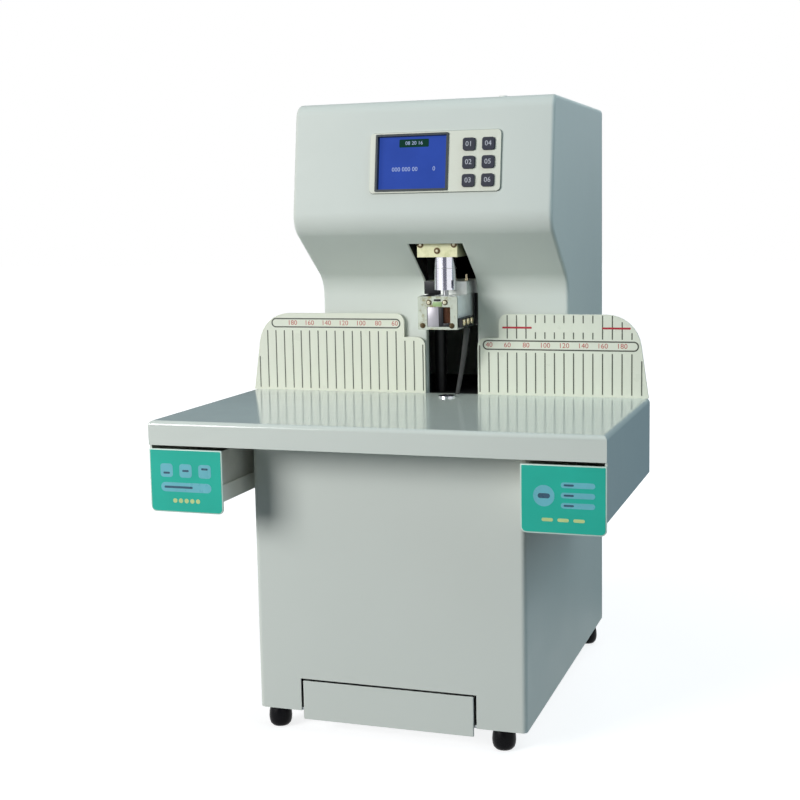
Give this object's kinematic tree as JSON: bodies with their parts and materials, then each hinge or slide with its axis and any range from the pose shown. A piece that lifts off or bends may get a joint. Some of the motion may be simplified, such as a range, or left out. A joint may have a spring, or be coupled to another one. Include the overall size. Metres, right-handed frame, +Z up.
{
  "type": "thermal binding machine",
  "caption": "Floor-standing drill and hot-rivet binder: cabinet, wide worktable with ruler stops, overhanging head with presser, screen and keys, drawers and scrap tray.",
  "frame": {"origin": "on the floor under the middle of the part's box", "axes": "+Z up, front towards -Y, +X to the right of someone standing in front of the machine"},
  "size_m": [0.439, 0.438, 0.6229],
  "materials": {
    "casing_paint": "fine-textured pale grey-green powder coat",
    "table_paint": "smooth semi-gloss pale grey-green enamel",
    "stop_enamel": "smooth cream-white enamel with printed ruler lines",
    "drawer_print": "glossy teal-green printed film on a pale panel",
    "bezel_plastic": "satin cream plastic",
    "screen_frame": "satin dark grey plastic",
    "screen_blue": "glossy blue display glass",
    "key_rubber": "satin dark grey rubber",
    "foot_rubber": "smooth black rubber",
    "zinc_yellow": "yellow-passivated zinc plating",
    "chromed_steel": "polished chrome",
    "bare_steel": "ground bright steel",
    "presser_paint": "grey machine enamel",
    "frame_paint": "matt black machine paint",
    "copper_brown": "heat-browned copper",
    "brass_bright": "bright turned brass",
    "black_plastic": "matt black plastic",
    "board_green": "green solder mask",
    "galvanised": "galvanised sheet",
    "white_nylon": "smooth white nylon"
  },
  "bodies": {
    "machine": {"base_plate": "galvanised", "base_front_panel": "casing_paint", "left_side_panel": "casing_paint", "right_side_panel": "casing_paint", "rear_cover": "casing_paint", "rubber_feet": "foot_rubber", "frame_posts": "frame_paint", "bed_plate": "frame_paint", "worktable": "table_paint", "left_drawer_channel": "table_paint", "right_drawer_channel": "table_paint", "left_stop_plate": "stop_enamel", "right_stop_plate": "stop_enamel", "die_plate": "table_paint", "die_ring": "bare_steel", "lower_rivet_heater": "copper_brown", "chip_chute": "galvanised", "head_front_cover": "casing_paint", "frame_plates": "frame_paint", "frame_top_plate": "frame_paint", "guide_rods": "chromed_steel", "quill_bracket": "zinc_yellow", "quill_sleeve": "chromed_steel", "fixing_screws": "zinc_yellow", "screw_motors": "frame_paint", "control_bezel": "bezel_plastic", "lcd_frame": "screen_frame", "lcd_screen": "screen_blue", "control_board": "board_green", "power_supply": "galvanised", "main_board": "board_green", "power_inlet": "black_plastic", "tube_inlet_bush": "white_nylon", "heater_lead": "black_plastic"},
    "left_drawer": {"left_drawer_tub": "table_paint", "left_drawer_front": "drawer_print"},
    "right_drawer": {"right_drawer_tub": "table_paint", "right_drawer_front": "drawer_print"},
    "scrap_tray": {"scrap_tray_tub": "casing_paint", "scrap_tray_front": "casing_paint"},
    "presser": {"presser_carriage": "presser_paint", "presser_block": "presser_paint", "presser_front_plate": "zinc_yellow", "presser_screws": "zinc_yellow", "heater_collar": "copper_brown", "brass_fitting": "brass_bright", "terminal_block": "black_plastic"},
    "drill_carriage": {"feed_carriage": "presser_paint", "drill_motor": "frame_paint"},
    "drill_spindle": {"drill_spindle": "chromed_steel", "drill_bit": "bare_steel"},
    "press_screw": {"press_screw": "bare_steel"},
    "feed_screw": {"feed_screw": "bare_steel"},
    "power_rocker": {"power_rocker": "black_plastic"},
    "key_1": {"key_1": "key_rubber"},
    "key_2": {"key_2": "key_rubber"},
    "key_3": {"key_3": "key_rubber"},
    "key_4": {"key_4": "key_rubber"},
    "key_5": {"key_5": "key_rubber"},
    "key_6": {"key_6": "key_rubber"}
  },
  "joints": [
    {"name": "left_drawer_slide", "type": "slide", "parent": "machine", "child": "left_drawer", "axis": [0, -1, 0], "range_m": [0, 0.18]},
    {"name": "right_drawer_slide", "type": "slide", "parent": "machine", "child": "right_drawer", "axis": [0, -1, 0], "range_m": [0, 0.18]},
    {"name": "scrap_tray_slide", "type": "slide", "parent": "machine", "child": "scrap_tray", "axis": [0, -1, 0], "range_m": [0, 0.15]},
    {"name": "press_slide", "type": "slide", "parent": "machine", "child": "presser", "axis": [0, 0, -1], "range_m": [0, 0.07], "deforming": ["heater_lead"]},
    {"name": "drill_feed", "type": "slide", "parent": "machine", "child": "drill_carriage", "axis": [0, 0, -1], "range_m": [0, 0.074]},
    {"name": "drill_spin", "type": "hinge", "parent": "drill_carriage", "child": "drill_spindle", "pos_m": [0.013, -0.0026, 0.5145], "axis": [0, 0, 1], "continuous": true},
    {"name": "press_screw_spin", "type": "hinge", "parent": "machine", "child": "press_screw", "pos_m": [-0.012, 0.0583, 0.3645], "axis": [0, 0, 1], "range_deg": [0, 2530]},
    {"name": "feed_screw_spin", "type": "hinge", "parent": "machine", "child": "feed_screw", "pos_m": [0.038, 0.0583, 0.3645], "axis": [0, 0, 1], "range_deg": [0, 2674]},
    {"name": "power_rocker_tilt", "type": "hinge", "parent": "machine", "child": "power_rocker", "pos_m": [0.08, 0.212, 0.094], "axis": [1, 0, 0], "range_deg": [-6, 6]},
    {"name": "key_1_press", "type": "slide", "parent": "machine", "child": "key_1", "axis": [0, 0.989, -0.1478], "range_m": [0, 0.001], "stiffness_N_per_m": 1500},
    {"name": "key_2_press", "type": "slide", "parent": "machine", "child": "key_2", "axis": [0, 0.989, -0.1478], "range_m": [0, 0.001], "stiffness_N_per_m": 1500},
    {"name": "key_3_press", "type": "slide", "parent": "machine", "child": "key_3", "axis": [0, 0.989, -0.1478], "range_m": [0, 0.001], "stiffness_N_per_m": 1500},
    {"name": "key_4_press", "type": "slide", "parent": "machine", "child": "key_4", "axis": [0, 0.989, -0.1478], "range_m": [0, 0.001], "stiffness_N_per_m": 1500},
    {"name": "key_5_press", "type": "slide", "parent": "machine", "child": "key_5", "axis": [0, 0.989, -0.1478], "range_m": [0, 0.001], "stiffness_N_per_m": 1500},
    {"name": "key_6_press", "type": "slide", "parent": "machine", "child": "key_6", "axis": [0, 0.989, -0.1478], "range_m": [0, 0.001], "stiffness_N_per_m": 1500}
  ],
  "couplings": [
    {"joint": "press_screw_spin", "follows": "press_slide", "rad_per_m": 628.32},
    {"joint": "feed_screw_spin", "follows": "drill_feed", "rad_per_m": 628.32}
  ]
}
